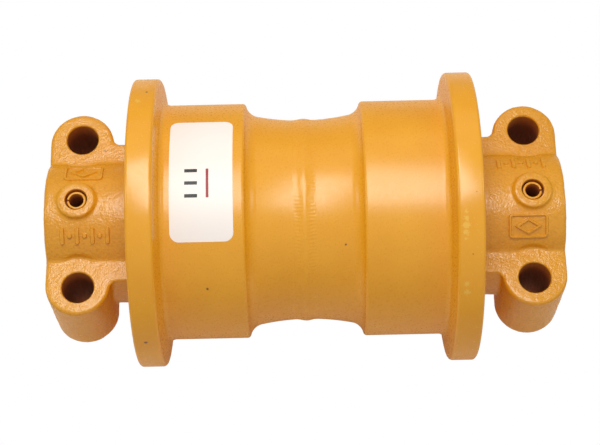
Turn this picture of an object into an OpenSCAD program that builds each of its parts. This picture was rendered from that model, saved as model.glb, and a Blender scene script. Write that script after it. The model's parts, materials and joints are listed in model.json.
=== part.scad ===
// Track roller: a welded shell that turns on a fixed shaft between two end collars.
// X runs along the shaft, Z points away from the collars' mounting faces, and the
// origin is on the shaft's axis at mid length.

/* [Roller shell] */
// Diameter over the guide flanges
flange_d = 200; // [196:0.5:206]
// Diameter of the two treads that carry the chain's rails
tread_d = 163; // [158:0.5:166]
// Width over the outer faces of the flanges
shell_w = 231; // [229:1:234]
// Width of a guide flange at its rim
rim_w = 17.5; // [16:0.5:19]
// Slope of a flange's inner face, in degrees
flange_slope = 10; // [6:0.5:14]
// Distance between the inner shoulders of the treads
waist_w = 78.4; // [74:0.2:80]
// Diameter of the waist at mid length
waist_d = 138.4; // [134:0.2:142]
// Diameter of the waist where it meets the shoulders
waist_end_d = 144.8; // [143:0.2:148]

/* [Weld] */
// Width of the weld's cap
weld_w = 12; // [8:0.5:14]
// Height of the weld's cap over the waist
weld_h = 1.4; // [0.8:0.1:1.8]

/* [Shaft] */
// Diameter of the shaft
shaft_d = 60; // [56:0.5:61]
// Length of the shaft
shaft_len = 349; // [344:0.5:351]
// Diameter of the oil gallery
gallery_d = 8; // [6:0.5:9]

/* [Bushings] */
// Outside diameter of a bushing
bush_d = 70; // [68:0.5:72]
// Length of a bushing behind its flange
bush_len = 48.5; // [40:0.5:50]
// Diameter of a bushing's flange
bush_flange_d = 84; // [80:0.5:84]

/* [Collars] */
// Length over the two collars
overall_len = 353; // [352:0.5:355]
// Diameter of a collar's hub
hub_d = 84.6; // [83:0.2:86]
// Diameter of a collar's seal housing and neck
neck_d = 110; // [109:0.5:111]
// Height of the bolt seats above the shaft's axis
seat_z = 22; // [20:0.5:24]
// Depth of the mounting faces below the shaft's axis
mount_z = 36; // [35:0.5:40]
// Distance between bolt holes along the shaft
bolt_x = 308; // [306:0.5:310]
// Distance between bolt holes across the shaft
bolt_y = 110; // [108:0.5:112]
// Diameter of a bolt hole
bolt_hole_d = 22; // [20:0.5:23]
// Diameter of the flat cut around a bolt hole
seat_d = 44; // [42:0.5:46]
// Diameter of the lock pin's boss
boss_d = 26; // [24:0.5:28]
// Height of the boss's face above the shaft's axis
boss_z = 44.5; // [44.2:0.1:46]

/* [Lock pins] */
// Diameter of a lock pin
pin_d = 13; // [11:0.5:13]
// Wall of a lock pin
pin_wall = 1.6; // [1.2:0.1:2.5]
// Length of a lock pin
pin_len = 34; // [28:0.5:34]

/* [Label] */
// Width of the label along the shaft
label_w = 41.5; // [30:0.5:42]
// Length of the label across the shaft, measured straight
label_l = 86.5; // [60:0.5:100]

/* [Hidden] */
$fn = 96;

paint = "goldenrod";
steel = "silver";
bronze = "darkkhaki";
rubber = "dimgray";

// Shell
shell_end = shell_w / 2;
flange_r = flange_d / 2;
tread_r = tread_d / 2;
flange_corner_x = shell_end - rim_w;
rim_inner_round = 2.4;
rim_outer_round = 2.1;
root_fillet = 4.4;
shoulder_x = waist_w / 2;
shoulder_fillet = 9.5;
shoulder_round = 2.4;
waist_r = waist_d / 2;
waist_rise = (waist_end_d - waist_d) / 2;
cavity_r = 40;

// Weld
weld_root_r = 55;
weld_root_w = 3;

// Seals: each pair of rings meets on the plane seal_x, where "depth" is measured from
seal_x = shell_end - 10.5;
ring_inner_r = 38.2;
ring_rim_r = 46.5;
ring_rim_depth = 3;
ring_depth = 10;
ring_gap = 0.025;
ring_seat_r = 42.6;
seat_slope = 1.6 / 7;
toric_r = 3.7;
toric_depth = 6.8;
toric_clearance = 0.05;
ramp_rise = 2 * (toric_r + toric_clearance) * sqrt(1 + seat_slope * seat_slope);
toric_centre_r = ring_seat_r - seat_slope * (toric_depth - ring_rim_depth) + ramp_rise / 2;
housing_depth = 11.2;
housing_mouth_r = 51;
housing_mouth_depth = 0.5;
labyrinth_gap = 2;

// Bushings
shaft_r = shaft_d / 2;
running_gap = 0.08;
bush_r = bush_d / 2;
bush_flange_r = bush_flange_d / 2;
bush_flange_w = 5.5;
bush_shoulder_x = seal_x - 18.5;
bush_flange_gap = 0.3;
oil_groove_w = 4;
oil_groove_depth = 1;

// Collars
collar_end = overall_len / 2;
collar_bore_r = shaft_r + 0.05;
nose_r = 36.3;
nose_x = bush_shoulder_x + bush_flange_w + 0.3;
neck_r = neck_d / 2;
neck_x = shell_end + 3;
hub_r = hub_d / 2;
hub_chamfer = 3;
bore_chamfer = 2;
rim_chamfer = 1;
lug_r = 22;
lug_x = collar_end - lug_r;
lug_y = bolt_y / 2 - 2.5;
bolt_hole_r = bolt_hole_d / 2;
cut_over = 1;

// Lock pins
pin_r = pin_d / 2;
pin_x = bolt_x / 2;
pin_top_z = boss_z - 2;
pin_slot_w = 2.4;
pin_chamfer = 1;
pin_hole_end_z = pin_top_z - pin_len - 1;
counterbore_r = 7.5;
counterbore_depth = 6;

// Shaft
shaft_end = shaft_len / 2;
shaft_chamfer = 2;
o_ring_r = 1.45;
o_ring_x = seal_x + 21;
o_ring_groove_w = 4.6;
o_ring_groove_r = collar_bore_r - 2 * o_ring_r - 0.05;
plug_r = 6.6;
plug_hole_len = 12;
plug_recess = 1;
plug_len = 10.5;
plug_socket_af = 7;
plug_socket_depth = 5.5;
centre_hole_r = 5;

// Label
label_x = flange_corner_x - 9.8;
label_thick = 0.3;
label_corner = 6;

// Points along an arc in the profile plane, from angle a0 to angle a1
function arc(centre, r, a0, a1, steps = 8) =
    [for (i = [0:steps]) let(a = a0 + (a1 - a0) * i / steps) centre + r * [cos(a), sin(a)]];

// Radius of the hollow waist at a distance x from mid length
waist_span = shoulder_x - shoulder_fillet + 2;
waist_arc_r = (waist_span * waist_span + waist_rise * waist_rise) / (2 * waist_rise);
function waist_at(x) = waist_r + waist_arc_r - sqrt(waist_arc_r * waist_arc_r - x * x);

// Turns a profile of [radius, x] points about the shaft's axis
module turned(points) {
    rotate([0, 90, 0])
        rotate_extrude()
            polygon(points);
}

// A plain ring of round section about the shaft's axis
module torus(centre_r, r, x) {
    translate([x, 0, 0])
        rotate([0, 90, 0])
            rotate_extrude()
                translate([centre_r, 0])
                    circle(r = r);
}

// A rod along the shaft's axis, from x0 to x1
module rod(r, x0, x1) {
    translate([x0, 0, 0])
        rotate([0, 90, 0])
            cylinder(r = r, h = x1 - x0);
}

// The left-hand pieces are the right-hand ones turned half way round
module at_left() {
    rotate([0, 0, 180])
        children();
}

// ---- Shell ----

// Distance of the flange's inner face from mid length, at a radius r
function flange_face_x(r) = flange_corner_x - (flange_r - r) * tan(flange_slope);

// Outer outline of the right-hand half, from the weld to the flange's outer face. The
// shoulder is two arcs that run into each other, hollow below and round above.
function shell_outline() =
    let(
        waist_steps = 6,
        waist_tilt = asin(waist_span / waist_arc_r),
        fillet_centre = [
            waist_at(waist_span) + shoulder_fillet * cos(waist_tilt),
            waist_span - shoulder_fillet * sin(waist_tilt)
        ],
        shoulder_rounds = shoulder_fillet + shoulder_round,
        shoulder_lean = asin((fillet_centre[0] - tread_r + shoulder_round) / shoulder_rounds),
        shoulder_round_x = fillet_centre[1] + shoulder_rounds * cos(shoulder_lean),
        root_face_r = tread_r + root_fillet * (1 - sin(flange_slope)),
        rim_face_r = flange_r - rim_inner_round * (1 - sin(flange_slope))
    )
    concat(
        [for (i = [0:waist_steps])
            let(x = weld_w / 2 + (waist_span - weld_w / 2) * i / waist_steps)
            [waist_at(x), x]],
        arc(fillet_centre, shoulder_fillet, 180 - waist_tilt, 90 + shoulder_lean),
        arc([tread_r - shoulder_round, shoulder_round_x], shoulder_round, shoulder_lean - 90, 0),
        arc([tread_r + root_fillet, flange_face_x(root_face_r) - root_fillet * cos(flange_slope)],
            root_fillet, 180, 90 + flange_slope),
        arc([flange_r - rim_inner_round,
             flange_face_x(rim_face_r) + rim_inner_round * cos(flange_slope)],
            rim_inner_round, flange_slope - 90, 0),
        arc([flange_r - rim_outer_round, shell_end - rim_outer_round], rim_outer_round, 0, 90)
    );

// Bore of the right-hand half, from the labyrinth to the oil cavity
function shell_bore() =
    let(recess_x = seal_x - housing_mouth_depth)
    [
        [neck_r + labyrinth_gap, shell_end],
        [neck_r + labyrinth_gap, recess_x],
        [housing_mouth_r, recess_x],
        [ring_seat_r + ramp_rise, seal_x - ring_rim_depth],
        [ring_seat_r + ramp_rise - seat_slope * (ring_depth - ring_rim_depth), seal_x - ring_depth],
        [ring_seat_r + ramp_rise - seat_slope * (ring_depth - ring_rim_depth), seal_x - housing_depth],
        [bush_flange_r + bush_flange_gap, seal_x - housing_depth],
        [bush_flange_r + bush_flange_gap, bush_shoulder_x],
        [bush_r, bush_shoulder_x],
        [bush_r, bush_shoulder_x - bush_len - 1.5],
        [cavity_r, bush_shoulder_x - bush_len - 1.5],
        [cavity_r, 0],
        [weld_root_r, 0],
        [weld_root_r, weld_root_w / 2]
    ];

module shell_half() {
    color(paint)
        turned(concat(shell_outline(), shell_bore()));
}

// Fills the groove between the halves and stands a little proud of the waist
module weld_bead() {
    cap_half = weld_w / 2;
    cap_rise = weld_h - (waist_at(cap_half) - waist_r);
    cap_r = (cap_half * cap_half + cap_rise * cap_rise) / (2 * cap_rise);
    cap_angle = asin(cap_half / cap_r);
    color(paint)
        turned(concat(
            [[weld_root_r, -weld_root_w / 2]],
            arc([waist_at(cap_half) + cap_rise - cap_r, 0], cap_r, -cap_angle, cap_angle),
            [[weld_root_r, weld_root_w / 2]]
        ));
}

// Printed label stuck round the top of the left-hand tread
module label() {
    color("white")
        intersection() {
            difference() {
                rod(tread_r + label_thick, -label_x, -label_x + label_w);
                rod(tread_r, -label_x - cut_over, -label_x + label_w + cut_over);
            }
            translate([-label_x + label_w / 2, 0, 0])
                linear_extrude(height = flange_r)
                    rounded_plate(label_w, label_l, label_corner);
        }
}

module rounded_plate(w, l, r) {
    square([w - 2 * r, l], center = true);
    square([w, l - 2 * r], center = true);
    for (sx = [-1, 1], sy = [-1, 1])
        translate([sx * (w / 2 - r), sy * (l / 2 - r)])
            circle(r = r);
}

// ---- Bushing ----

// Flanged bushing: oil grooves cross its thrust face and run along its bore
module bushing() {
    flange_end_x = bush_shoulder_x + bush_flange_w;
    start_x = bush_shoulder_x - bush_len;
    bore_r = shaft_r + running_gap;
    color(bronze)
        difference() {
            turned([
                [bore_r, start_x], [bush_r - 1, start_x], [bush_r, start_x + 1],
                [bush_r, bush_shoulder_x], [bush_flange_r, bush_shoulder_x],
                [bush_flange_r, flange_end_x], [bore_r, flange_end_x]
            ]);
            for (a = [45, 135])
                rotate([a, 0, 0])
                    translate([flange_end_x - oil_groove_depth, -bush_flange_r - cut_over, -oil_groove_w / 2])
                        cube([oil_groove_depth + cut_over, 2 * (bush_flange_r + cut_over), oil_groove_w]);
            for (a = [45, 225])
                rotate([a, 0, 0])
                    translate([start_x + 6, 0, -oil_groove_w / 2])
                        cube([bush_len + bush_flange_w - 6 + cut_over, bore_r + oil_groove_depth, oil_groove_w]);
        }
}

// ---- Seals ----

// One metal ring: face on the seal plane, rim behind it, then a sloping seat for the rubber.
// side is 1 for the ring held by the collar and -1 for the ring that turns with the shell.
module seal_ring(side) {
    function at(depth) = seal_x + side * depth;
    lip_r = ring_seat_r - seat_slope * (ring_depth - ring_rim_depth);
    color(steel)
        turned([
            [ring_inner_r + 2, at(ring_gap)], [ring_rim_r, at(ring_gap)],
            [ring_rim_r, at(ring_rim_depth)], [ring_seat_r, at(ring_rim_depth)],
            [lip_r, at(ring_depth)], [ring_inner_r, at(ring_depth)], [ring_inner_r, at(2)]
        ]);
}

// Rubber ring that centres and drives a metal ring
module toric_ring(side) {
    color(rubber)
        torus(toric_centre_r, toric_r, seal_x + side * toric_depth);
}

// ---- Shaft ----

module shaft() {
    color(steel)
        difference() {
            turned(shaft_outline());
            rod(gallery_d / 2, -gallery_d / 2, shaft_end);
            rod(plug_r, shaft_end - plug_hole_len, shaft_end + cut_over);
            translate([0, 0, -shaft_r - cut_over])
                cylinder(r = gallery_d / 2, h = shaft_r + cut_over);
            translate([-shaft_end - 0.01, 0, 0])
                rotate([0, 90, 0])
                    cylinder(r1 = centre_hole_r, r2 = 0, h = centre_hole_r);
            for (side = [-1, 1])
                translate([side * pin_x, 0, pin_hole_end_z])
                    cylinder(r = pin_r, h = shaft_r);
        }
}

// The shaft's outline, with a groove for an O-ring under each collar
function shaft_outline() =
    let(
        near_x = o_ring_x - o_ring_groove_w / 2,
        far_x = o_ring_x + o_ring_groove_w / 2
    )
    [
        [0, -shaft_end], [shaft_r - shaft_chamfer, -shaft_end], [shaft_r, -shaft_end + shaft_chamfer],
        [shaft_r, -far_x], [o_ring_groove_r, -far_x], [o_ring_groove_r, -near_x], [shaft_r, -near_x],
        [shaft_r, near_x], [o_ring_groove_r, near_x], [o_ring_groove_r, far_x], [shaft_r, far_x],
        [shaft_r, shaft_end - shaft_chamfer], [shaft_r - shaft_chamfer, shaft_end], [0, shaft_end]
    ];

module shaft_o_ring() {
    color(rubber)
        torus(collar_bore_r - o_ring_r - 0.03, o_ring_r, o_ring_x);
}

module oil_plug() {
    plug_end_x = shaft_end - plug_recess;
    color(steel)
        difference() {
            rod(plug_r, plug_end_x - plug_len, plug_end_x);
            translate([plug_end_x - plug_socket_depth, 0, 0])
                rotate([0, 90, 0])
                    cylinder(d = plug_socket_af / cos(30), h = plug_socket_depth + cut_over, $fn = 6);
        }
}

// Slotted spring pin, its slot towards the end of the shaft
module lock_pin() {
    color(steel)
        translate([pin_x, 0, pin_top_z - pin_len])
            difference() {
                rotate_extrude()
                    polygon([
                        [pin_r - pin_wall, 0], [pin_r - pin_chamfer, 0], [pin_r, pin_chamfer],
                        [pin_r, pin_len - pin_chamfer], [pin_r - pin_chamfer, pin_len],
                        [pin_r - pin_wall, pin_len]
                    ]);
                translate([0, -pin_slot_w / 2, -cut_over])
                    cube([pin_d, pin_slot_w, pin_len + 2 * cut_over]);
            }
}

// ---- Collar ----

// Hub, seal housing and nose of a collar, as turned about the shaft's axis
function collar_outline() =
    let(floor_r = ring_seat_r + ramp_rise - seat_slope * (ring_depth - ring_rim_depth))
    [
        [collar_bore_r, nose_x], [nose_r, nose_x], [nose_r, seal_x + housing_depth],
        [floor_r, seal_x + housing_depth], [floor_r, seal_x + ring_depth],
        [ring_seat_r + ramp_rise, seal_x + ring_rim_depth],
        [housing_mouth_r, seal_x + housing_mouth_depth],
        [neck_r - rim_chamfer, seal_x + housing_mouth_depth],
        [neck_r, seal_x + housing_mouth_depth + rim_chamfer],
        [neck_r, neck_x], [hub_r, neck_x],
        [hub_r, collar_end - hub_chamfer], [hub_r - hub_chamfer, collar_end],
        [collar_bore_r + bore_chamfer, collar_end], [collar_bore_r, collar_end - bore_chamfer]
    ];

// Bolt lugs on both sides of the hub, drawn from above
module lug_plan() {
    translate([lug_x - lug_r, -lug_y])
        square([2 * lug_r, 2 * lug_y]);
    for (side = [-1, 1])
        translate([lug_x, side * lug_y])
            circle(r = lug_r);
}

module collar() {
    color(paint)
        difference() {
            union() {
                turned(collar_outline());
                intersection() {
                    rod(neck_r, neck_x, lug_x - lug_r + cut_over);
                    translate([0, -neck_r, -mount_z])
                        cube([collar_end, 2 * neck_r, mount_z + seat_z]);
                }
                translate([0, 0, -mount_z])
                    linear_extrude(height = mount_z + seat_z)
                        lug_plan();
                translate([pin_x, 0, shaft_r])
                    cylinder(r = boss_d / 2, h = boss_z - shaft_r);
            }
            translate([neck_x, -neck_r, -mount_z - neck_r])
                cube([collar_end, 2 * neck_r, neck_r]);
            rod(collar_bore_r, nose_x - cut_over, collar_end + cut_over);
            for (side = [-1, 1])
                translate([bolt_x / 2, side * bolt_y / 2, 0]) {
                    translate([0, 0, -mount_z - cut_over])
                        cylinder(r = bolt_hole_r, h = mount_z + seat_z + 2 * cut_over);
                    translate([0, 0, seat_z])
                        cylinder(r = seat_d / 2, h = boss_z);
                }
            translate([pin_x, 0, 0])
                cylinder(r = pin_r, h = boss_z);
            translate([pin_x, 0, boss_z - counterbore_depth])
                cylinder(r = counterbore_r, h = counterbore_depth + cut_over);
        }
}

shaft();
at_left() collar();  // left_collar
collar();  // right_collar
at_left() lock_pin();  // left_lock_pin
lock_pin();  // right_lock_pin
oil_plug();
at_left() shaft_o_ring();  // left_shaft_o_ring
shaft_o_ring();  // right_shaft_o_ring
at_left() seal_ring(1);  // left_fixed_seal_ring
seal_ring(1);  // right_fixed_seal_ring
at_left() toric_ring(1);  // left_fixed_toric_ring
toric_ring(1);  // right_fixed_toric_ring
at_left() shell_half();  // left_shell_half
shell_half();  // right_shell_half
weld_bead();
at_left() bushing();  // left_bushing
bushing();  // right_bushing
at_left() seal_ring(-1);  // left_turning_seal_ring
seal_ring(-1);  // right_turning_seal_ring
at_left() toric_ring(-1);  // left_turning_toric_ring
toric_ring(-1);  // right_turning_toric_ring
label();
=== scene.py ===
"""A crawler machine's track roller, finished round its CAD frame.

Lengths are in millimetres and become metres through MM. X runs along the shaft,
Z points out of the bolt seats, and the origin is on the shaft's axis.
"""
import json
import math

import bmesh
import bpy
from mathutils import Matrix, Vector, noise


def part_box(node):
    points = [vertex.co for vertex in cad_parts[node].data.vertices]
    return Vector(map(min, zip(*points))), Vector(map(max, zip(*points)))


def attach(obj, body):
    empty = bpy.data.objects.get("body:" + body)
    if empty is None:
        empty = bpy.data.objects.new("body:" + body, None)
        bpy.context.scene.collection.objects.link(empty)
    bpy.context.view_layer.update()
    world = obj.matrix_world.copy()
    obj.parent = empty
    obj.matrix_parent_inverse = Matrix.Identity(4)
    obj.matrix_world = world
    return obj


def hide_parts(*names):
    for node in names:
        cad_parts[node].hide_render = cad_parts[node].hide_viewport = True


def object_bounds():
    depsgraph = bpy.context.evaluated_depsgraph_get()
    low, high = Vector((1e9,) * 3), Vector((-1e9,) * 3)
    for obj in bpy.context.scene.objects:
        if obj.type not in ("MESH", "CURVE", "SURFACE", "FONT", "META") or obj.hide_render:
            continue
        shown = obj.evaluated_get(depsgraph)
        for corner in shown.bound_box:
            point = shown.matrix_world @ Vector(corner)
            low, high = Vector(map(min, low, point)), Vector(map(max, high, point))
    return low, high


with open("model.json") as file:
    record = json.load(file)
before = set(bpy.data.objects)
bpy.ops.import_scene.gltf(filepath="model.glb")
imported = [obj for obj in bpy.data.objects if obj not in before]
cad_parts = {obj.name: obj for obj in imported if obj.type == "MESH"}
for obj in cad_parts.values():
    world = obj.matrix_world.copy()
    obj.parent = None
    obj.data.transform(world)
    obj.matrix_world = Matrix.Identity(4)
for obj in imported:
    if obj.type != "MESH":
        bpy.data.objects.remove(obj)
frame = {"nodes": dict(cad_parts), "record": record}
cad_low, cad_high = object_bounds()

MM = 0.001


def node_box(node):
    """Lowest and highest corner of a CAD node, in millimetres."""
    low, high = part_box(node)
    return low / MM, high / MM


# ---- Sizes that the frame gives ----

shell_high = node_box("right_shell_half")[1]
collar_low, collar_high = node_box("right_collar")
bolts = next(m for m in frame["record"]["mounts"] if m["name"] == "collar_bolts")

FLANGE_R = shell_high.z
SHELL_END = shell_high.x
COLLAR_END = collar_high.x
NECK_R = collar_high.z
NOSE_X = collar_low.x
SHAFT_R = node_box("shaft")[1].z
BUSH_FLANGE_R = node_box("right_bushing")[1].z
BUSH_START_X = node_box("right_bushing")[0].x
BUSH_BARREL = 48.5
BUSH_SHOULDER_X = BUSH_START_X + BUSH_BARREL
SEAL_X = node_box("right_fixed_seal_ring")[0].x
PIN_TOP_Z = node_box("right_lock_pin")[1].z
PIN_END_Z = node_box("right_lock_pin")[0].z
LABEL_LOW, LABEL_HIGH = node_box("label")
BOLT_X = bolts["dims"]["spacing_x_mm"] / 2
BOLT_Y = bolts["dims"]["spacing_y_mm"] / 2
BOLT_R = bolts["dims"]["hole_r_mm"]
MOUNT_Z = bolts["pos_m"][2] / MM

# ---- Sizes of the shell's section ----

TREAD_R = 81.5
RIM_W = 17.5
FLANGE_SLOPE = math.radians(10)
SHOULDER_X = 39.49
SHOULDER_FOOT_X = 37.72
SHOULDER_FOOT_R = 73.63
WAIST_R = 69.2
WAIST_RISE = 3.2
WAIST_SPAN = 31.7
BUSH_R = 35
CAVITY_R = 40
WELD_ROOT_R = 55
WELD_ROOT_W = 3
LABYRINTH_GAP = 2

# ---- Sizes of the ramps that seat the seals' rubber rings, in shell and collar alike ----

RAMP_MOUTH_R = 50.3
RAMP_FLOOR_R = 48.7
RAMP_START = 3
RAMP_END = 10
RAMP_FLOOR = 11.2

# ---- Sizes of the weld ----

WELD_HALF = 9.6
CAP_RISE = 0.55
RIDGE_RISE = 0.8
RIDGE_HALF = 3.5
RIPPLE_PITCH = 2.4
RIPPLE_DEPTH = 0.085
RIPPLE_PLACE = 4.6
RIPPLE_SPREAD = 2.8
RIPPLE_LAG = 3.4
RIPPLE_SLUR = 1.8
LUMP_DEPTH = 0.16
SEAM_WANDER = 0.8

# ---- Sizes of a collar ----

SEAT_Z = 22
HUB_R = 42.3
NECK_X = SHELL_END + 3
NOSE_R = 36.3
LUG_R = 22
LUG_Y = BOLT_Y - 2.5
LUG_TOP_ROUND = 2.2
SEAT_R = 22
BOSS_R = 13
BOSS_Z = PIN_TOP_Z + 2
PIN_R = 6.5
PIN_BORE_R = 4.9
PIN_SLOT = 1.6
COUNTERBORE_R = 7.5
COUNTERBORE_DEPTH = 6
VOXEL = 0.95
MACHINING_ALLOWANCE = 2.5
MOULD_END = COLLAR_END - 0.2
WEB_ROUND = 7
WEB_DEPTH = 34
SKIN_WAVES = ((0.17, 9), (0.12, 2.9))

# ---- Studio ----

FLOOR_GAP = 4
FLOOR_HALF = 550
ROOM_BRIGHTEST = (0, -0.57, 0.82)
ROOM_LOW = (0.42, 0.34, 0.27, 1)
ROOM_MIDDLE = (0.34, 0.33, 0.31, 1)
ROOM_HIGH = (0.58, 0.58, 0.58, 1)


# ---- Mesh helpers ----

def round_corner(bm, vert, radius, segments):
    """Rounds one corner of a flat face with an arc of the given radius, in millimetres."""
    sides = [edge.other_vert(vert).co - vert.co for edge in vert.link_edges]
    reach = radius * MM / math.tan(sides[0].angle(sides[1]) / 2)
    bmesh.ops.bevel(bm, geom=[vert], offset=reach, offset_type="OFFSET", segments=segments,
                    profile=0.5, affect="VERTICES", material=-1)


def section_face(bm, corners, segments=6):
    """A flat face in the XZ plane from (x, radius, rounding) corners in millimetres."""
    verts = [bm.verts.new((x * MM, 0, r * MM)) for x, r, _ in corners]
    face = bm.faces.new(verts)
    for vert, (_, _, rounding) in zip(verts, corners):
        if rounding:
            round_corner(bm, vert, rounding, segments)
    return face


def spin_section(corners, steps, angle=2 * math.pi, segments=6):
    """A solid turned about the shaft's axis from its section."""
    bm = bmesh.new()
    section_face(bm, corners, segments)
    whole = angle == 2 * math.pi
    if whole:
        bmesh.ops.delete(bm, geom=bm.faces[:], context="FACES_ONLY")
    bmesh.ops.spin(bm, geom=bm.verts[:] + bm.edges[:] + bm.faces[:], cent=(0, 0, 0),
                   axis=(1, 0, 0), dvec=(0, 0, 0), angle=angle, steps=steps,
                   use_merge=whole, use_normal_flip=False, use_duplicate=False)
    bmesh.ops.remove_doubles(bm, verts=bm.verts[:], dist=0.001 * MM)
    bmesh.ops.recalc_face_normals(bm, faces=bm.faces[:])
    return bm


def make_piece(name, bm, sharp_degrees=32):
    """Turns a bmesh into an object, smooth apart from its sharp edges."""
    mesh = bpy.data.meshes.new(name)
    bm.to_mesh(mesh)
    bm.free()
    piece = bpy.data.objects.new(name, mesh)
    bpy.context.scene.collection.objects.link(piece)
    shade(piece, sharp_degrees)
    return piece


def shade(piece, sharp_degrees):
    """Smooths the piece's faces, apart from edges sharper than this."""
    piece.data.polygons.foreach_set("use_smooth", [True] * len(piece.data.polygons))
    piece.data.set_sharp_from_angle(angle=math.radians(sharp_degrees))


def bake_modifiers(piece):
    """Applies the piece's modifiers to its mesh."""
    bpy.context.view_layer.update()
    depsgraph = bpy.context.evaluated_depsgraph_get()
    mesh = bpy.data.meshes.new_from_object(piece.evaluated_get(depsgraph))
    old = piece.data
    piece.modifiers.clear()
    piece.data = mesh
    bpy.data.meshes.remove(old)
    mesh.name = piece.name


def cut(piece, cutter_bm):
    """Takes a closed bmesh away from the piece."""
    cutter = make_piece("cutter", cutter_bm)
    boolean = piece.modifiers.new("cut", "BOOLEAN")
    boolean.operation = "DIFFERENCE"
    boolean.solver = "EXACT"
    boolean.object = cutter
    bake_modifiers(piece)
    mesh = cutter.data
    bpy.data.objects.remove(cutter)
    bpy.data.meshes.remove(mesh)


def add_rod(bm, radius, start, end, axis="X", at=(0, 0), segments=128):
    """Adds a cylinder along X or Z, from start to end, centred on the other two axes at `at`."""
    middle = (start + end) / 2
    if axis == "X":
        place = Matrix.Translation(Vector((middle, *at)) * MM) @ Matrix.Rotation(math.pi / 2, 4, "Y")
    else:
        place = Matrix.Translation(Vector((*at, middle)) * MM)
    made = bmesh.ops.create_cone(bm, cap_ends=True, segments=segments, radius1=radius * MM,
                                 radius2=radius * MM, depth=(end - start) * MM, matrix=place)
    return made["verts"]


def add_block(bm, low, high):
    """Adds a box between two corners."""
    low, high = Vector(low) * MM, Vector(high) * MM
    place = Matrix.Translation((low + high) / 2) @ Matrix.Diagonal((*(high - low), 1))
    return bmesh.ops.create_cube(bm, size=1, matrix=place)["verts"]


def edges_where(verts, test):
    """Edges at these vertices that pass a test."""
    edges = {edge for vert in verts for edge in vert.link_edges}
    return [edge for edge in edges if test(edge)]


def lies_past(edge, axis, limit):
    """Whether both ends of an edge are past a limit along an axis, in millimetres."""
    return all(getattr(vert.co, axis) / MM > limit for vert in edge.verts)


def round_edges(bm, edges, radius, segments=4):
    bmesh.ops.bevel(bm, geom=edges, offset=radius * MM, offset_type="OFFSET", segments=segments,
                    profile=0.5, affect="EDGES", material=-1)


# ---- Roller shell ----

def waist_radius(x):
    """The waist is a shallow hollow, narrowest at mid length."""
    return WAIST_R + WAIST_RISE * (x / WAIST_SPAN) ** 2


def inner_face_x(radius):
    """Distance of a flange's inner face from mid length, at a radius."""
    return SHELL_END - RIM_W - (FLANGE_R - radius) * math.tan(FLANGE_SLOPE)


def shell_section():
    """Half section of the right-hand shell half: outside first, then its bore."""
    waist_steps = 9
    waist_start_x, waist_end_x = WELD_HALF - 2, WAIST_SPAN - 0.2
    waist_x = [waist_start_x + (waist_end_x - waist_start_x) * i / waist_steps
               for i in range(waist_steps + 1)]
    recess_x = SEAL_X - 0.5
    floor_x = SEAL_X - RAMP_FLOOR
    flange_bore_r = BUSH_FLANGE_R + 0.3
    bush_end_x = BUSH_START_X - 1.5
    return [(x, waist_radius(x), 0) for x in waist_x] + [
        (SHOULDER_FOOT_X, SHOULDER_FOOT_R, 9.3),
        (SHOULDER_X, TREAD_R, 2.3),
        (inner_face_x(TREAD_R), TREAD_R, 4.4),
        (inner_face_x(FLANGE_R), FLANGE_R, 2.4),
        (SHELL_END, FLANGE_R, 2.1),
        (SHELL_END, NECK_R + LABYRINTH_GAP, 0.8),
        (recess_x, NECK_R + LABYRINTH_GAP, 0),
        (recess_x, RAMP_MOUTH_R + 0.7, 0),
        (SEAL_X - RAMP_START, RAMP_MOUTH_R, 0),
        (SEAL_X - RAMP_END, RAMP_FLOOR_R, 0),
        (floor_x, RAMP_FLOOR_R, 0),
        (floor_x, flange_bore_r, 0),
        (BUSH_SHOULDER_X, flange_bore_r, 0),
        (BUSH_SHOULDER_X, BUSH_R, 0),
        (bush_end_x, BUSH_R, 0),
        (bush_end_x, CAVITY_R, 0),
        (0, CAVITY_R, 0),
        (0, WELD_ROOT_R, 0),
        (WELD_ROOT_W / 2, WELD_ROOT_R, 0),
    ]


def shell_half(name, node, turn):
    """One half of the shell, turned to its end of the roller."""
    bm = spin_section(shell_section(), steps=240, segments=8)
    bmesh.ops.transform(bm, matrix=Matrix.Rotation(turn, 4, "Z"), verts=bm.verts[:])
    piece = make_piece(name, bm)
    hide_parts(node)
    return piece


def weld_profile(x):
    """Height of the weld over the waist: a low, wide cap with a narrow ridge along its middle."""
    cap = CAP_RISE * max(0, 1 - (x / WELD_HALF) ** 2) ** 1.2
    return cap + RIDGE_RISE * math.exp(-(x / RIDGE_HALF) ** 2)


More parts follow.
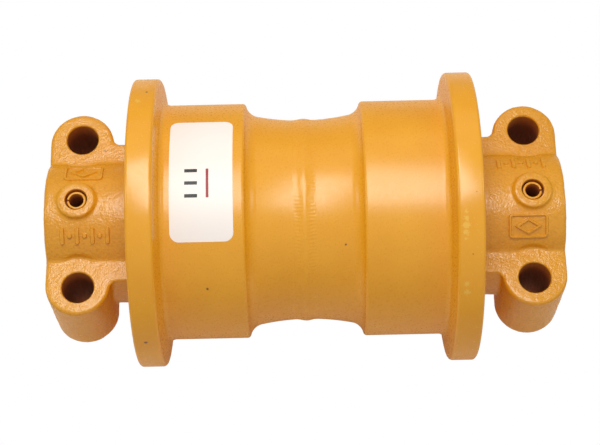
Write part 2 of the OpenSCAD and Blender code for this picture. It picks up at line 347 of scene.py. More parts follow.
def weld_bead():
    """Cap of the weld, woven from side to side: its pools froze in crescents beside the ridge,
    which lag towards the edges and come out stronger in some places than in others."""
    crown_steps = 26
    crown = []
    for i in range(crown_steps + 1):
        x = WELD_HALF * (2 * i / crown_steps - 1)
        crown.append((x, waist_radius(x) - 0.2 + weld_profile(x), 0))
    root = [(WELD_ROOT_W / 2, WELD_ROOT_R, 0), (-WELD_ROOT_W / 2, WELD_ROOT_R, 0)]
    bm = spin_section(crown + root, steps=1200)
    ripples = round(2 * math.pi * WAIST_R / RIPPLE_PITCH)
    for vert in bm.verts:
        x = vert.co.x / MM
        angle = math.atan2(vert.co.z, vert.co.y)
        radius = math.hypot(vert.co.y, vert.co.z) / MM
        if radius < WAIST_R - 1:
            continue
        round_the_roller = Vector((math.cos(angle), math.sin(angle), 0))
        across = x / WELD_HALF
        side = 1 if x > 0 else -1
        wander = SEAM_WANDER * noise.noise(round_the_roller * 2.5)
        slur = RIPPLE_SLUR * noise.noise(round_the_roller * 16 + Vector((0, 0, across * 2)))
        pool = ripples * angle + RIPPLE_LAG * abs(across) + 0.9 * side + slur
        patch = noise.noise(round_the_roller * 3.4 + Vector((5, 0, side * 2)))
        strength = min(1, max(0.1, 0.65 + 1.3 * patch))
        beside_ridge = math.exp(-((abs(x) - RIPPLE_PLACE) / RIPPLE_SPREAD) ** 2)
        lump = noise.noise(round_the_roller * 10 + Vector((0, 3, across * 3))) * (1 - across ** 4)
        height = RIPPLE_DEPTH * strength * math.sin(pool) * beside_ridge + LUMP_DEPTH * lump
        scale = (radius + height) / radius
        moved_x = x + wander * (1 - across ** 2)
        vert.co = Vector((moved_x * MM, vert.co.y * scale, vert.co.z * scale))
    piece = make_piece("weld_cap", bm, 60)
    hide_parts("weld_bead")
    return piece


# ---- Label ----

FILM_CORNER = 6
FILM_THICK = 0.18
FILM_LIFT = 0.08
FILM_STRIPS = 60


def label():
    """Printed film that follows the tread, with rounded corners. Its UV map is in millimetres."""
    film_r = TREAD_R + FILM_LIFT
    arc = 2 * film_r * math.asin(LABEL_HIGH.y / film_r)
    half_w, half_l = (LABEL_HIGH.x - LABEL_LOW.x) / 2, arc / 2
    bm = bmesh.new()
    corners = [(-half_w, -half_l), (half_w, -half_l), (half_w, half_l), (-half_w, half_l)]
    verts = [bm.verts.new((x * MM, y * MM, 0)) for x, y in corners]
    bm.faces.new(verts)
    for vert in verts:
        round_corner(bm, vert, FILM_CORNER, 8)
    for i in range(1, FILM_STRIPS):
        y = arc * (i / FILM_STRIPS - 0.5)
        bmesh.ops.bisect_plane(bm, geom=bm.verts[:] + bm.edges[:] + bm.faces[:], dist=1e-7,
                               plane_co=(0, y * MM, 0), plane_no=(0, 1, 0))
    uv = bm.loops.layers.uv.new("print")
    for face in bm.faces:
        for loop in face.loops:
            loop[uv].uv = (loop.vert.co.x / MM, loop.vert.co.y / MM)
    centre_x = (LABEL_LOW.x + LABEL_HIGH.x) / 2
    for vert in bm.verts:
        angle = vert.co.y / MM / film_r
        vert.co = Vector((vert.co.x + centre_x * MM, film_r * MM * math.sin(angle),
                          film_r * MM * math.cos(angle)))
    bmesh.ops.recalc_face_normals(bm, faces=bm.faces[:])
    bmesh.ops.solidify(bm, geom=bm.faces[:], thickness=FILM_THICK * MM)
    bmesh.ops.recalc_face_normals(bm, faces=bm.faces[:])
    piece = make_piece("label_film", bm, 40)
    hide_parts("label")
    return piece


# ---- Collars ----

def lug_block(bm):
    """Both bolt lugs and the wall that joins them, with a rounded top edge."""
    half_y = LUG_Y + LUG_R
    verts = add_block(bm, (COLLAR_END - 2 * LUG_R, -half_y, MOUNT_Z - MACHINING_ALLOWANCE),
                      (MOULD_END, half_y, SEAT_Z))
    upright = edges_where(verts, lambda edge: abs(edge.verts[0].co.z - edge.verts[1].co.z) > MM)
    almost_half_round = LUG_R - (COLLAR_END - MOULD_END) / 2 - 0.01
    round_edges(bm, upright, almost_half_round, 20)
    rim = edges_where(bm.verts, lambda edge: lies_past(edge, "z", SEAT_Z - 0.01)
                      and any(abs(face.normal.z) < 0.1 for face in edge.link_faces))
    round_edges(bm, rim, LUG_TOP_ROUND, 5)


def neck_slab(bm):
    """Stretch of the neck next to the lugs, cut flat at the bolt seats and at the mounting face."""
    other = set(bm.verts)
    add_rod(bm, NECK_R, NECK_X - 1, COLLAR_END - 2 * LUG_R + 2)
    for height, normal in ((SEAT_Z, 1), (MOUNT_Z - MACHINING_ALLOWANCE, -1)):
        own = [vert for vert in bm.verts if vert not in other]
        geometry = own + list({edge for vert in own for edge in vert.link_edges})
        geometry += list({face for vert in own for face in vert.link_faces})
        sliced = bmesh.ops.bisect_plane(bm, geom=geometry, dist=1e-7, plane_co=(0, 0, height * MM),
                                        plane_no=(0, 0, normal), clear_outer=True)
        rim = [item for item in sliced["geom_cut"] if isinstance(item, bmesh.types.BMEdge)]
        bmesh.ops.contextual_create(bm, geom=rim)


def webs(bm):
    """Hollow-cornered webs where the lugs run into the neck, one for each bolt lug. Each hollow
    is an arc that touches the neck's side and the lug's round, and it dies out downwards."""
    side_y = math.sqrt(NECK_R ** 2 - SEAT_Z ** 2)
    lug_x = COLLAR_END - LUG_R
    rise = side_y + WEB_ROUND - LUG_Y
    run = math.sqrt((LUG_R + WEB_ROUND) ** 2 - rise ** 2)
    touch_x = lug_x - run * LUG_R / (LUG_R + WEB_ROUND)
    touch_y = LUG_Y + rise * LUG_R / (LUG_R + WEB_ROUND)
    corner_x = touch_x - (touch_y - side_y) * rise / run
    near_x, far_x, foot_y = lug_x - run - 0.1, lug_x - 8, side_y - 6
    for side in (-1, 1):
        outline = [(near_x, foot_y), (near_x, side_y), (corner_x, side_y),
                   (touch_x, touch_y), (far_x, touch_y), (far_x, foot_y)]
        verts = [bm.verts.new((x * MM, side * y * MM, (SEAT_Z - 0.6) * MM)) for x, y in outline]
        other = set(bm.faces)
        bm.faces.new(verts)
        round_corner(bm, verts[2], WEB_ROUND, 8)
        top = [face for face in bm.faces if face not in other]
        lowered = bmesh.ops.extrude_face_region(bm, geom=top, use_keep_orig=True)["geom"]
        low_verts = [item for item in lowered if isinstance(item, bmesh.types.BMVert)]
        bmesh.ops.translate(bm, verts=low_verts, vec=(0, 0, -WEB_DEPTH * MM))
        bmesh.ops.scale(bm, verts=low_verts, vec=(0.45, 0.45, 1),
                        space=Matrix.Translation(Vector((-far_x, -side * foot_y, 0)) * MM))


def hub_with_seats(bm):
    """The hub, with room for the bolts' heads cut out of its sides."""
    hub = bmesh.new()
    verts = add_rod(hub, HUB_R, NECK_X - 2, MOULD_END)
    rim = edges_where(verts, lambda edge: lies_past(edge, "x", MOULD_END - 0.01))
    round_edges(hub, rim, 2.5)
    piece = make_piece("hub", hub)
    for side in (-1, 1):
        seat = bmesh.new()
        add_rod(seat, SEAT_R, SEAT_Z, BOSS_Z + 5, "Z", (BOLT_X, side * BOLT_Y))
        cut(piece, seat)
    bm.from_mesh(piece.data)
    mesh = piece.data
    bpy.data.objects.remove(piece)
    bpy.data.meshes.remove(mesh)


def boss(bm):
    """Boss that the lock pin goes through."""
    other = set(bm.verts)
    add_rod(bm, BOSS_R, SHAFT_R, BOSS_Z, "Z", (BOLT_X, 0))
    own = [vert for vert in bm.verts if vert not in other]
    rim = edges_where(own, lambda edge: lies_past(edge, "z", BOSS_Z - 0.01))
    round_edges(bm, rim, 0.9, 3)


# Foundry marks on a collar's hub: a row of plain bars and dots on one side of the
# pin's boss, and a framed lozenge on the other.
MARK_RELIEF = 1.4
MARK_EDGE = 0.25
MARK_REACH = 1.6
ROW_X = 148.5
ROW_ANGLE = math.radians(-33)
ROW_PITCH = 10.2
FRAME_X = 150.4
FRAME_ANGLE = math.radians(33)


def rounded_box_distance(u, v, half_u, half_v, corner):
    """Distance to a rectangle with rounded corners, negative inside it."""
    du = abs(u) - half_u + corner
    dv = abs(v) - half_v + corner
    return math.hypot(max(du, 0), max(dv, 0)) + min(max(du, dv), 0) - corner


def row_distance(u, v):
    """Distance to the row's nearest bar or dot."""
    bars = min(rounded_box_distance(u - step * ROW_PITCH, v, 1.35, 5.6, 1.2)
               for step in (-1.5, -0.5, 0.5, 1.5))
    dots = min(math.hypot(u - step * ROW_PITCH, v) - 1.5 for step in (-1, 0, 1))
    return min(bars, dots)


def framed_mark_distance(u, v):
    """Distance to the frame's stroke or to the lozenge in it."""
    border = abs(rounded_box_distance(u, v, 12.4, 7.4, 2)) - 0.75
    lozenge = abs((abs(u) / 7.5 + abs(v) / 4.6 - 1) * 3.9) - 0.8
    return min(border, lozenge)


def mark_distance(point):
    """Distance from a point on the hub to the nearest mark, in millimetres."""
    angle = math.atan2(-point.y, point.z)
    row = row_distance(point.x - ROW_X, HUB_R * (angle - ROW_ANGLE))
    framed = framed_mark_distance(point.x - FRAME_X, HUB_R * (angle - FRAME_ANGLE))
    return min(row, framed)


def on_hub(point):
    """Whether a point is on the hub's skin, above the bolt seats' corners."""
    return point.z > 15 and abs(math.hypot(point.y, point.z) - HUB_R) < 0.8


def raise_marks(bm):
    """Raises the foundry marks from the hub, on a mesh that is made finer there."""
    near = [face for face in bm.faces if on_hub(middle := face.calc_center_median() / MM)
            and mark_distance(middle) < MARK_REACH]
    edges = list({edge for face in near for edge in face.edges})
    bmesh.ops.subdivide_edges(bm, edges=edges, cuts=3, use_grid_fill=True)
    for vert in bm.verts:
        point = vert.co / MM
        if not on_hub(point):
            continue
        depth = mark_distance(point)
        if depth < MARK_EDGE:
            share = min(1, (MARK_EDGE - depth) / (2 * MARK_EDGE))
            outward = Vector((0, vert.co.y, vert.co.z)).normalized()
            vert.co += outward * MARK_RELIEF * share * share * (3 - 2 * share) * MM


def roughen_casting(bm):
    """Gives the skin the slow waves that a sand mould leaves, each of its own depth and width."""
    bm.normal_update()
    moves = []
    for vert in bm.verts:
        point = vert.co / MM
        wave = sum(depth * noise.noise(point / width) for depth, width in SKIN_WAVES)
        moves.append((vert, vert.normal * wave * MM))
    for vert, move in moves:
        vert.co += move


def hole_cutter(radius, chamfer, low, high, at):
    """Cutter for an upright hole with a small chamfer at its mouth, which it clears above."""
    bm = bmesh.new()
    depth, clear = high - low, 4
    section = [(0, 0), (radius, 0), (radius, depth - chamfer), (radius + chamfer, depth),
               (radius + chamfer, depth + clear), (0, depth + clear)]
    verts = [bm.verts.new((r * MM, 0, z * MM)) for r, z in section]
    for first, second in zip(verts, verts[1:]):
        bm.edges.new((first, second))
    bmesh.ops.spin(bm, geom=bm.verts[:] + bm.edges[:], cent=(0, 0, 0), axis=(0, 0, 1),
                   dvec=(0, 0, 0), angle=2 * math.pi, steps=72, use_merge=True,
                   use_normal_flip=False, use_duplicate=False)
    bmesh.ops.remove_doubles(bm, verts=bm.verts[:], dist=0.001 * MM)
    bmesh.ops.recalc_face_normals(bm, faces=bm.faces[:])
    bmesh.ops.translate(bm, verts=bm.verts[:], vec=Vector((at[0], at[1], low)) * MM)
    return bm


def seal_seat_cutter():
    """Cutter for the ramp that seats the rubber ring, open towards the shell."""
    mouth_x = SEAL_X + 0.5
    open_x, open_r = mouth_x - 6, NECK_R + 3
    return spin_section([
        (open_x, open_r, 0),
        (open_x, NOSE_R, 0),
        (SEAL_X + RAMP_FLOOR, NOSE_R, 0),
        (SEAL_X + RAMP_FLOOR, RAMP_FLOOR_R, 0),
        (SEAL_X + RAMP_END, RAMP_FLOOR_R, 0),
        (SEAL_X + RAMP_START, RAMP_MOUTH_R, 0),
        (mouth_x, RAMP_MOUTH_R + 0.7, 0),
        (mouth_x, open_r, 0),
    ], steps=144)


def collar_casting():
    """Casting of the right-hand collar: moulded skin first, then the machined faces and holes."""
    bm = bmesh.new()
    lug_block(bm)
    neck_slab(bm)
    webs(bm)
    hub_with_seats(bm)
    boss(bm)
    add_rod(bm, NECK_R, SEAL_X - 4, NECK_X)
    add_rod(bm, NOSE_R, NOSE_X, NECK_X)
    bmesh.ops.recalc_face_normals(bm, faces=bm.faces[:])
    piece = make_piece("collar_casting", bm)
    remesh = piece.modifiers.new("skin", "REMESH")
    remesh.mode = "VOXEL"
    remesh.voxel_size = VOXEL * MM
    remesh.adaptivity = 0
    smooth = piece.modifiers.new("draft", "SMOOTH")
    smooth.factor = 0.5
    smooth.iterations = 5
    bake_modifiers(piece)
    bm = bmesh.new()
    bm.from_mesh(piece.data)
    raise_marks(bm)
    roughen_casting(bm)
    bm.to_mesh(piece.data)
    bm.free()

    bore = bmesh.new()
    add_rod(bore, SHAFT_R + 0.05, NOSE_X - 5, COLLAR_END + 5, segments=160)
    cut(piece, bore)
    cut(piece, seal_seat_cutter())
    under = bmesh.new()
    add_block(under, (NECK_X, -90, MOUNT_Z - 40), (COLLAR_END + 10, 90, MOUNT_Z))
    cut(piece, under)
    for side in (-1, 1):
        cut(piece, hole_cutter(BOLT_R, 0.7, MOUNT_Z - 5, SEAT_Z, (BOLT_X, side * BOLT_Y)))
    cut(piece, hole_cutter(PIN_R, 0.2, 12, BOSS_Z - COUNTERBORE_DEPTH, (BOLT_X, 0)))
    cut(piece, hole_cutter(COUNTERBORE_R, 0.4, BOSS_Z - COUNTERBORE_DEPTH, BOSS_Z, (BOLT_X, 0)))
    shade(piece, 38)
    return piece


def collars():
    """The right-hand casting, and a copy of it turned half way round for the left."""
    right = collar_casting()
    right.name = "right_collar_casting"
    left = right.copy()
    left.data = right.data.copy()
    left.name = "left_collar_casting"
    bpy.context.scene.collection.objects.link(left)
    left.data.transform(Matrix.Rotation(math.pi, 4, "Z"))
    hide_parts("left_collar")
    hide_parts("right_collar")
    return left, right


# ---- Lock pins ----

def lock_pin(name, node, turn):
    """Slotted spring pin, its slot away from the shell."""
    length = PIN_TOP_Z - PIN_END_Z
    slot_angle = PIN_SLOT / PIN_R
    bm = spin_section([
        (0, PIN_BORE_R, 0.25),
        (length, PIN_BORE_R, 0.35),
        (length, PIN_R - 0.01, 0.7),
        (0, PIN_R - 0.01, 0.7),
    ], steps=72, angle=2 * math.pi - slot_angle, segments=3)
    stand_up = Matrix.Rotation(-math.pi / 2, 4, "Y")
    open_outwards = Matrix.Rotation(math.pi + slot_angle / 2, 4, "X")
    place = Matrix.Translation(Vector((BOLT_X, 0, PIN_END_Z)) * MM)
    bmesh.ops.transform(bm, matrix=Matrix.Rotation(turn, 4, "Z") @ place @ stand_up @ open_outwards,
                        verts=bm.verts[:])
    piece = make_piece(name, bm)
    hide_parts(node)
    return piece


# ---- Materials ----

def linear(hex_colour):
    """Linear RGBA of an sRGB hex colour."""
    channels = [int(hex_colour[i:i + 2], 16) / 255 for i in (0, 2, 4)]
    return tuple(c / 12.92 if c <= 0.04045 else ((c + 0.055) / 1.055) ** 2.4 for c in channels) + (1,)


def add(tree, kind, inputs=None, **settings):
    """Adds a node, sets its settings, and sets or links its inputs."""
    node = tree.nodes.new(kind)
    for name, value in settings.items():
        setattr(node, name, value)
    for key, value in (inputs or {}).items():
        if isinstance(value, bpy.types.NodeSocket):
            tree.links.new(value, node.inputs[key])
        else:
            node.inputs[key].default_value = value
    return node


def new_material(name):
    """An empty node material and its tree."""
    material = bpy.data.materials.new(name)
    material.use_nodes = True
    material.node_tree.nodes.clear()
    return material, material.node_tree


def per_metre(size_mm):
    """Scale of a noise on object coordinates whose features are about this wide."""
    return 1 / (size_mm * MM)


def spots(tree, place, places, ragged_mm):
    """1 inside any of the places, given as (x, y, z, radius) in millimetres, with a ragged edge."""
    nearest = None
    for x, y, z, radius in places:
        apart = add(tree, "ShaderNodeVectorMath", {0: place, 1: (x * MM, y * MM, z * MM)},
                    operation="DISTANCE").outputs["Value"]
        outside = add(tree, "ShaderNodeMath", {0: apart, 1: radius * MM},
                      operation="SUBTRACT").outputs[0]
        if nearest is None:
            nearest = outside
        else:
            nearest = add(tree, "ShaderNodeMath", {0: nearest, 1: outside},
                          operation="MINIMUM").outputs[0]
    jitter = add(tree, "ShaderNodeTexNoise", {"Vector": place, "Scale": per_metre(1.4),
                                              "Detail": 3.0})
    centred = add(tree, "ShaderNodeMath", {0: jitter.outputs["Fac"], 1: 0.5}, operation="SUBTRACT")
    edge = add(tree, "ShaderNodeMath", {0: centred.outputs[0], 1: 2 * ragged_mm * MM},
               operation="MULTIPLY")
    ragged = add(tree, "ShaderNodeMath", {0: nearest, 1: edge.outputs[0]}, operation="ADD")
    return add(tree, "ShaderNodeMapRange", {
        "Value": ragged.outputs[0], "From Min": 0.15 * MM, "From Max": -0.15 * MM,
        "To Min": 0.0, "To Max": 1.0}).outputs["Result"]


def down_a_hole(tree, place, at, radius, mouth_z, dark_z):
    """0 at the mouth of a collar's upright hole, and 1 where little light or paint gets in."""
    mirrored = add(tree, "ShaderNodeVectorMath", {0: place}, operation="ABSOLUTE").outputs["Vector"]
    from_axis = add(tree, "ShaderNodeVectorMath", {0: mirrored, 1: (at[0] * MM, at[1] * MM, 0)},
                    operation="SUBTRACT").outputs["Vector"]
    flat = add(tree, "ShaderNodeVectorMath", {0: from_axis, 1: (1, 1, 0)},
               operation="MULTIPLY").outputs["Vector"]
    apart = add(tree, "ShaderNodeVectorMath", {0: flat}, operation="LENGTH").outputs["Value"]
    inside = add(tree, "ShaderNodeMath", {0: apart, 1: radius * MM},
                 operation="LESS_THAN").outputs[0]
    height = add(tree, "ShaderNodeSeparateXYZ", {"Vector": place}).outputs["Z"]
    depth = add(tree, "ShaderNodeMapRange", {
        "Value": height, "From Min": mouth_z * MM, "From Max": dark_z * MM,
        "To Min": 0.0, "To Max": 1.0}).outputs["Result"]
    return add(tree, "ShaderNodeMath", {0: inside, 1: depth}, operation="MULTIPLY").outputs[0]


def grained(tree, colour, grain, share):
    """The colour, deeper in the pits of the grain and paler on its crests."""
    for full_at, tint in ((0.34, "B46A0E"), (0.68, "EFA832")):
        part = add(tree, "ShaderNodeMapRange", {"Value": grain, "From Min": 0.52, "From Max": full_at,
                                                "To Min": 0.0, "To Max": share}).outputs["Result"]
        colour = add(tree, "ShaderNodeMix", {"Factor": part, 6: colour, 7: linear(tint)},
                     data_type="RGBA").outputs[2]
    return colour


def specks(tree, place, gap_mm):
    """1 in small round specks, about a gap apart."""
    cells = add(tree, "ShaderNodeTexVoronoi", {"Vector": place, "Scale": per_metre(gap_mm)})
    return add(tree, "ShaderNodeMapRange", {
        "Value": cells.outputs["Distance"], "From Min": 0.55 / gap_mm, "From Max": 0.35 / gap_mm,
        "To Min": 0.0, "To Max": 1.0}).outputs["Result"]


def gloss_beyond(tree, place, radius_mm):
    """How much smoother the paint is beyond a radius from the shaft's axis."""
    square = add(tree, "ShaderNodeVectorMath", {0: place, 1: (0, 1, 1)},
                 operation="MULTIPLY").outputs["Vector"]
    from_axis = add(tree, "ShaderNodeVectorMath", {0: square}, operation="LENGTH").outputs["Value"]
    return add(tree, "ShaderNodeMapRange", {
        "Value": from_axis, "From Min": (radius_mm - 1) * MM, "From Max": radius_mm * MM,
        "To Min": 0.0, "To Max": 0.07}).outputs["Result"]


def thin_paint_and_shade_in_hole(tree, place, colour, dull, hole):
    """Colour and roughness down one of the holes: thin, dusty paint, and painted shade that darkens
    the colour with depth.
    """
    deep = down_a_hole(tree, place, *hole)
    # Painted shade: the colour turns darker brown deeper down the hole, where little light gets in.
    # It also stands for the thinner paint there.
    shadowed = add(tree, "ShaderNodeValToRGB", {"Fac": deep})
    shadowed.color_ramp.elements[0].color = linear("C07A22")
    shadowed.color_ramp.elements[1].color = linear("8E440E")
    shadowed.color_ramp.elements.new(0.4).color = linear("B8661A")
    inside = add(tree, "ShaderNodeMapRange", {"Value": deep, "From Min": 0.0, "From Max": 0.12,
                                              "To Min": 0.0, "To Max": 1.0}).outputs["Result"]
    colour = add(tree, "ShaderNodeMix", {"Factor": inside, 6: colour, 7: shadowed.outputs["Color"]},
                 data_type="RGBA").outputs[2]
    dull = add(tree, "ShaderNodeMix", {"Factor": inside, 2: dull, 3: 0.8},
               data_type="FLOAT").outputs[0]
    return colour, dull


def enamel(name, grain_mm, grain_depth_mm, rough, tones=("EBA01B", "F1A925"), grain_shows=0.0,
           turned=False, chips=(), scuffs=(), speck_gap_mm=0, holes=(), glossy_beyond_mm=0):
    """Sprayed yellow enamel. It is glossy but laid thin, so it shows the skin under it: the sand
    grain of a casting, or the turning lines of a machined face. Both are drawn coarser than the
    real grain and feed, which are well under a millimetre and too fine to see. It is chipped to
    brown primer in a few places and rubbed paler on the flange. Down the holes it is thin and
    darkened with depth, partly thin paint and partly painted shade."""
    material, tree = new_material(name)
    place = add(tree, "ShaderNodeTexCoord").outputs["Object"]
    cloud = add(tree, "ShaderNodeTexNoise", {"Vector": place, "Scale": per_metre(38), "Detail": 4.0,
                                             "Roughness": 0.6}).outputs["Fac"]
    tone = add(tree, "ShaderNodeValToRGB", {"Fac": cloud})
    for element, position, tint in zip(tone.color_ramp.elements, (0.3, 0.72), tones):
        element.position = position
        element.color = linear(tint)
    colour = tone.outputs["Color"]
    grain = add(tree, "ShaderNodeTexNoise", {"Vector": place, "Scale": per_metre(grain_mm),
                                             "Detail": 3.0, "Roughness": 0.55}).outputs["Fac"]
    bump = add(tree, "ShaderNodeBump", {"Height": grain, "Strength": 1.0,
                                        "Distance": grain_depth_mm * MM})
    dull = add(tree, "ShaderNodeMapRange", {
        "Value": grain, "From Min": 0.25, "From Max": 0.75,
        "To Min": rough - 0.07, "To Max": rough + 0.07}).outputs["Result"]
    if grain_shows:
        colour = grained(tree, colour, grain, grain_shows)
    if turned:
        stretched = add(tree, "ShaderNodeMapping", {"Vector": place, "Scale": (1, 0.02, 0.02)})
        lines = add(tree, "ShaderNodeTexNoise", {"Vector": stretched.outputs["Vector"],
                                                 "Scale": per_metre(1.1), "Detail": 2.0})
        bump = add(tree, "ShaderNodeBump", {"Height": lines.outputs["Fac"], "Strength": 1.0,
                                            "Distance": 0.02 * MM, "Normal": bump.outputs["Normal"]})
    if glossy_beyond_mm:
        dull = add(tree, "ShaderNodeMath", {0: dull, 1: gloss_beyond(tree, place, glossy_beyond_mm)},
                   operation="SUBTRACT").outputs[0]
    if scuffs:
        rubbed = spots(tree, place, scuffs, 2.4)
        colour = add(tree, "ShaderNodeMix", {"Factor": rubbed, 6: colour, 7: linear("F2B846")},
                     data_type="RGBA").outputs[2]
    if chips:
        bare = spots(tree, place, chips, 0.7)
        colour = add(tree, "ShaderNodeMix", {"Factor": bare, 6: colour, 7: linear("7E4214")},
                     data_type="RGBA").outputs[2]
    if speck_gap_mm:
        speck = specks(tree, place, speck_gap_mm)
        colour = add(tree, "ShaderNodeMix", {"Factor": speck, 6: colour, 7: linear("8A4A14")},
                     data_type="RGBA").outputs[2]
    # Thin paint and painted shade down each listed hole, darker with depth.
    for hole in holes:
        colour, dull = thin_paint_and_shade_in_hole(tree, place, colour, dull, hole)
    shader = add(tree, "ShaderNodeBsdfPrincipled", {
        "Base Color": colour, "Roughness": dull, "IOR": 1.62, "Normal": bump.outputs["Normal"]})
    add(tree, "ShaderNodeOutputMaterial", {"Surface": shader.outputs["BSDF"]})
    return material


def bare_metal(name, colour, rough, lines_mm):
    """Turned bare metal: fine rings round the axis, which show as a soft sheen."""
    material, tree = new_material(name)
    place = add(tree, "ShaderNodeTexCoord").outputs["Object"]
    stretched = add(tree, "ShaderNodeMapping", {"Vector": place, "Scale": (1, 0.03, 0.03)})
    lines = add(tree, "ShaderNodeTexNoise", {"Vector": stretched.outputs["Vector"],
                                             "Scale": per_metre(lines_mm),
                                             "Detail": 3.0}).outputs["Fac"]
    shine = add(tree, "ShaderNodeMapRange", {"Value": lines, "To Min": rough - 0.08,
                                             "To Max": rough + 0.1})
    bump = add(tree, "ShaderNodeBump", {"Height": lines, "Strength": 1.0, "Distance": 0.006 * MM})
    shader = add(tree, "ShaderNodeBsdfPrincipled", {
        "Base Color": linear(colour), "Metallic": 1.0, "Roughness": shine.outputs["Result"],
        "Normal": bump.outputs["Normal"]})
    add(tree, "ShaderNodeOutputMaterial", {"Surface": shader.outputs["BSDF"]})
    return material


def nitrile_rubber():
    """Moulded nitrile rubber: nearly black, with a faint bloom."""
    material, tree = new_material("moulded_nitrile_rubber")
    place = add(tree, "ShaderNodeTexCoord").outputs["Object"]
    bloom = add(tree, "ShaderNodeTexNoise", {"Vector": place, "Scale": per_metre(4),
                                             "Detail": 3.0}).outputs["Fac"]
    shine = add(tree, "ShaderNodeMapRange", {"Value": bloom, "To Min": 0.5, "To Max": 0.72})
    shader = add(tree, "ShaderNodeBsdfPrincipled", {
        "Base Color": linear("1B1B1C"), "Roughness": shine.outputs["Result"], "IOR": 1.52})
    add(tree, "ShaderNodeOutputMaterial", {"Surface": shader.outputs["BSDF"]})
    return material


def printed_film():
    """Printed vinyl film: white and satin, with three plain bars in black ink and a red rule."""
    material, tree = new_material("printed_vinyl_film")
    place = add(tree, "ShaderNodeUVMap", uv_map="print").outputs["UV"]
    apart = add(tree, "ShaderNodeSeparateXYZ", {"Vector": place})

    def bar(centre_u, centre_v, half_u, half_v):
        """1 inside a printed bar and 0 outside, in the film's millimetres."""
        inside = []
        for axis, centre, half in (("X", centre_u, half_u), ("Y", centre_v, half_v)):
            off = add(tree, "ShaderNodeMath", {0: apart.outputs[axis], 1: centre},
                      operation="SUBTRACT")
            away = add(tree, "ShaderNodeMath", {0: off.outputs[0]}, operation="ABSOLUTE")
            inside.append(add(tree, "ShaderNodeMath", {0: away.outputs[0], 1: half},
                              operation="LESS_THAN"))
        return add(tree, "ShaderNodeMath", {0: inside[0].outputs[0], 1: inside[1].outputs[0]},
                   operation="MULTIPLY").outputs[0]

    colour = linear("FFF4F0")
    for ink, shape in (("18181B", (-6.5, 2.2, 4.2, 1.2)), ("18181B", (-6.5, -6.5, 4.2, 1.2)),
                       ("18181B", (-6.5, -15.2, 4.2, 1.2)), ("A01822", (4.2, -6.5, 0.9, 10))):
        colour = add(tree, "ShaderNodeMix", {"Factor": bar(*shape), 6: colour, 7: linear(ink)},
                     data_type="RGBA").outputs[2]
    shader = add(tree, "ShaderNodeBsdfPrincipled", {"Base Color": colour, "Roughness": 0.38,
                                                    "IOR": 1.46})
    add(tree, "ShaderNodeOutputMaterial", {"Surface": shader.outputs["BSDF"]})
    return material


def studio_board():
    """Matt pale board, a little warm: it throws soft light back up under the roller."""
    material, tree = new_material("matt_pale_board")
    shader = add(tree, "ShaderNodeBsdfPrincipled", {"Base Color": linear("F2DAC2"), "Roughness": 0.9})
    add(tree, "ShaderNodeOutputMaterial", {"Surface": shader.outputs["BSDF"]})
    return material


def finish_with(piece, material):
    """Gives the piece one material and no other."""
    piece.data.materials.clear()
    piece.data.materials.append(material)


# ---- Studio ----

def studio():
    """A pale board as the floor, four softboxes, and the dim light of the room round them.
    The board lights the roller from below and stays out of the camera's own view."""
    bm = bmesh.new()
    bmesh.ops.create_grid(bm, x_segments=1, y_segments=1, size=FLOOR_HALF * MM)
    bmesh.ops.translate(bm, verts=bm.verts[:], vec=(0, 0, cad_low.z - FLOOR_GAP * MM))
    floor = make_piece("floor", bm)
    finish_with(floor, studio_board())
    floor.visible_camera = False
    room()
    add_softbox("overhead_softbox", (-70, 165, 1250), (520, 850), 8.4, (0.955, 1, 0.94))
    add_softbox("rear_softbox", (-100, 950, 900), (1300, 800), 1.2, (1, 1, 1))
    for side in (-1, 1):
        add_softbox("side_strip", (side * 1050, 120, 720), (200, 600), 1.4, (1, 0.98, 0.95))


def room():
    """Light of the room: brightest high in front, and warm round the floor. The camera itself
    sees a plain white backdrop."""
    world = bpy.data.worlds.new("studio_room")
    world.use_nodes = True
    tree = world.node_tree
    tree.nodes.clear()
    towards = add(tree, "ShaderNodeTexCoord").outputs["Generated"]
    height = add(tree, "ShaderNodeVectorMath", {0: towards, 1: ROOM_BRIGHTEST},
                 operation="DOT_PRODUCT")
    share = add(tree, "ShaderNodeMapRange", {"Value": height.outputs["Value"],
                                             "From Min": -1.0, "From Max": 1.0})
    light = add(tree, "ShaderNodeValToRGB", {"Fac": share.outputs["Result"]})
    light.color_ramp.elements[0].position = 0.35
    light.color_ramp.elements[0].color = ROOM_LOW
    light.color_ramp.elements[1].color = ROOM_HIGH
    light.color_ramp.elements.new(0.76).color = ROOM_MIDDLE
    seen = add(tree, "ShaderNodeLightPath").outputs["Is Camera Ray"]
    colour = add(tree, "ShaderNodeMix", {"Factor": seen, 6: light.outputs["Color"], 7: (1, 1, 1, 1)},
                 data_type="RGBA").outputs[2]
    background = add(tree, "ShaderNodeBackground", {"Color": colour, "Strength": 1.0})
    add(tree, "ShaderNodeOutputWorld", {"Surface": background.outputs["Background"]})
    bpy.context.scene.world = world


def add_softbox(name, place, size, power, colour):
    """A rectangular softbox that points at the roller, with its power in watts."""
    light = bpy.data.lights.new(name, "AREA")
    light.shape = "RECTANGLE"
    light.size, light.size_y = size[0] * MM, size[1] * MM
    light.energy = power
    light.color = colour
    lamp = bpy.data.objects.new(name, light)
    lamp.location = Vector(place) * MM
    lamp.rotation_euler = (-Vector(place)).to_track_quat("-Z", "Y").to_euler()
    bpy.context.scene.collection.objects.link(lamp)


CAMERA_TILT = math.radians(22.7)
CAMERA_ROLL = math.radians(1.27)
CAMERA_YAW = math.radians(-0.1)
CAMERA_DISTANCE = 1140
CAMERA_LENS = 97.9
AIM_RIGHT = 3.35
AIM_UP = 2.0


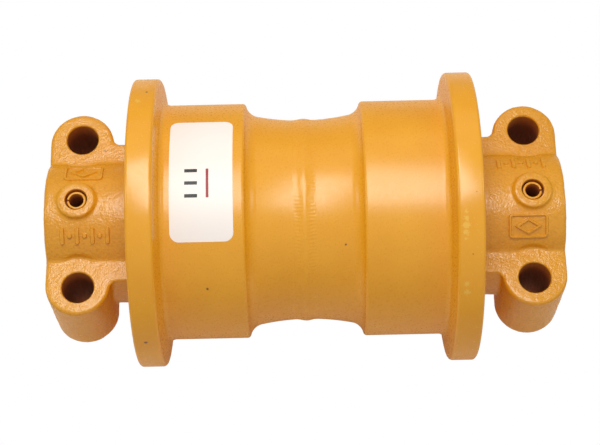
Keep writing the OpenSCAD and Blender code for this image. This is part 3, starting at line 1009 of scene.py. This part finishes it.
def camera():
    """Looks down on the roller from the mounting bolts' side, a little from the front."""
    across = Vector((1, 0, 0))
    up = Vector((0, math.cos(CAMERA_TILT), math.sin(CAMERA_TILT)))
    back = Vector((0, -math.sin(CAMERA_TILT), math.cos(CAMERA_TILT)))
    level = across * math.cos(CAMERA_YAW) + back * math.sin(CAMERA_YAW)
    right = level * math.cos(CAMERA_ROLL) - up * math.sin(CAMERA_ROLL)
    top = level * math.sin(CAMERA_ROLL) + up * math.cos(CAMERA_ROLL)
    towards = back * math.cos(CAMERA_YAW) - across * math.sin(CAMERA_YAW)
    data = bpy.data.cameras.new("camera")
    data.sensor_width = 36
    data.lens = CAMERA_LENS
    holder = bpy.data.objects.new("camera", data)
    place = (towards * CAMERA_DISTANCE - right * AIM_RIGHT - top * AIM_UP) * MM
    turn = Matrix((right, top, towards)).transposed().to_4x4()
    holder.matrix_world = Matrix.Translation(place) @ turn
    bpy.context.scene.collection.objects.link(holder)
    bpy.context.scene.camera = holder


# ---- Wear, as (x, y, z, radius) in millimetres ----

SHELL_CHIPS = (
    (-107, -96.5, 26, 1.1), (-65, -67.2, 46, 0.8), (26.5, -42.4, 57.2, 0.65),
    (107, -60, 80, 0.4), (110, -24, 97, 0.35), (-104, 62, 78, 0.9), (74, 68, -44, 1.0),
)
RIM_SCUFFS = (
    (103, -36, 93.3, 1.0), (103.2, -40, 91.7, 1.6), (103, -44, 89.8, 2.1), (102.6, -48, 87.7, 1.7),
    (102.4, -52, 85.4, 1.0), (103, -75, 66.1, 1.5), (103.4, -79, 61.3, 1.8), (-109, 52, 85.4, 1.6),
)
CAST_CHIPS = (
    (-138, 46, 22, 0.7), (-170, -72.5, 20, 0.8), (-139, -66, 6, 0.9),
    (140, 62, 21, 0.7), (172, -60, 14, 0.8),
)

# Holes with thin paint and painted shade down them: place of the axis, radius, and heights of the
# mouth and of the dark.
BOLT_HOLE = ((BOLT_X, BOLT_Y), BOLT_R + 0.5, SEAT_Z - 0.5, 6)
PIN_COUNTERBORE = ((BOLT_X, 0), COUNTERBORE_R + 0.3, BOSS_Z - 0.6, BOSS_Z - 5)
PIN_BORE = ((BOLT_X, 0), PIN_BORE_R + 0.3, PIN_TOP_Z - 0.3, PIN_TOP_Z - 7)

# ---- The roller ----

camera()
studio()

cast_enamel = enamel("yellow_enamel_on_casting", grain_mm=1.6, grain_depth_mm=0.34, rough=0.22,
                     tones=("E1991B", "E8A223"), grain_shows=0.22, chips=CAST_CHIPS,
                     speck_gap_mm=34, holes=(BOLT_HOLE, PIN_COUNTERBORE))
turned_enamel = enamel("yellow_enamel_on_turned_steel", grain_mm=1.6, grain_depth_mm=0.022,
                       rough=0.30, turned=True, chips=SHELL_CHIPS, scuffs=RIM_SCUFFS,
                       speck_gap_mm=60, glossy_beyond_mm=97)
pin_enamel = enamel("yellow_enamel_on_pin", grain_mm=1.5, grain_depth_mm=0.02, rough=0.4,
                    holes=(PIN_BORE,))
turned_steel = bare_metal("turned_medium_carbon_steel", "B4B2AE", 0.34, 0.5)
lapped_iron = bare_metal("lapped_chilled_iron", "8F8E8C", 0.28, 0.3)
sintered_bronze = bare_metal("bronze_lined_steel", "B08A4E", 0.4, 0.4)
rubber = nitrile_rubber()

left_shell = shell_half("left_shell_forging", "left_shell_half", math.pi)
right_shell = shell_half("right_shell_forging", "right_shell_half", 0)
cap = weld_bead()
film = label()
left_casting, right_casting = collars()
left_pin = lock_pin("left_spring_pin", "left_lock_pin", math.pi)
right_pin = lock_pin("right_spring_pin", "right_lock_pin", 0)

for piece, body, slot, material in (
    (left_shell, "roller", "yellow_paint", turned_enamel),
    (right_shell, "roller", "yellow_paint", turned_enamel),
    (cap, "roller", "yellow_paint", turned_enamel),
    (film, "roller", "label_film", printed_film()),
    (left_casting, "mounting", "yellow_paint", cast_enamel),
    (right_casting, "mounting", "yellow_paint", cast_enamel),
    (left_pin, "mounting", "yellow_paint", pin_enamel),
    (right_pin, "mounting", "yellow_paint", pin_enamel),
):
    finish_with(piece, material)
    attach(piece, body)

for side in ("left", "right"):
    finish_with(frame["nodes"][side + "_bushing"], sintered_bronze)
    finish_with(frame["nodes"][side + "_shaft_o_ring"], rubber)
    for half in ("fixed", "turning"):
        finish_with(frame["nodes"][f"{side}_{half}_seal_ring"], lapped_iron)
        finish_with(frame["nodes"][f"{side}_{half}_toric_ring"], rubber)
finish_with(frame["nodes"]["shaft"], turned_steel)
finish_with(frame["nodes"]["oil_plug"], turned_steel)

bpy.context.scene.view_settings.view_transform = "Standard"
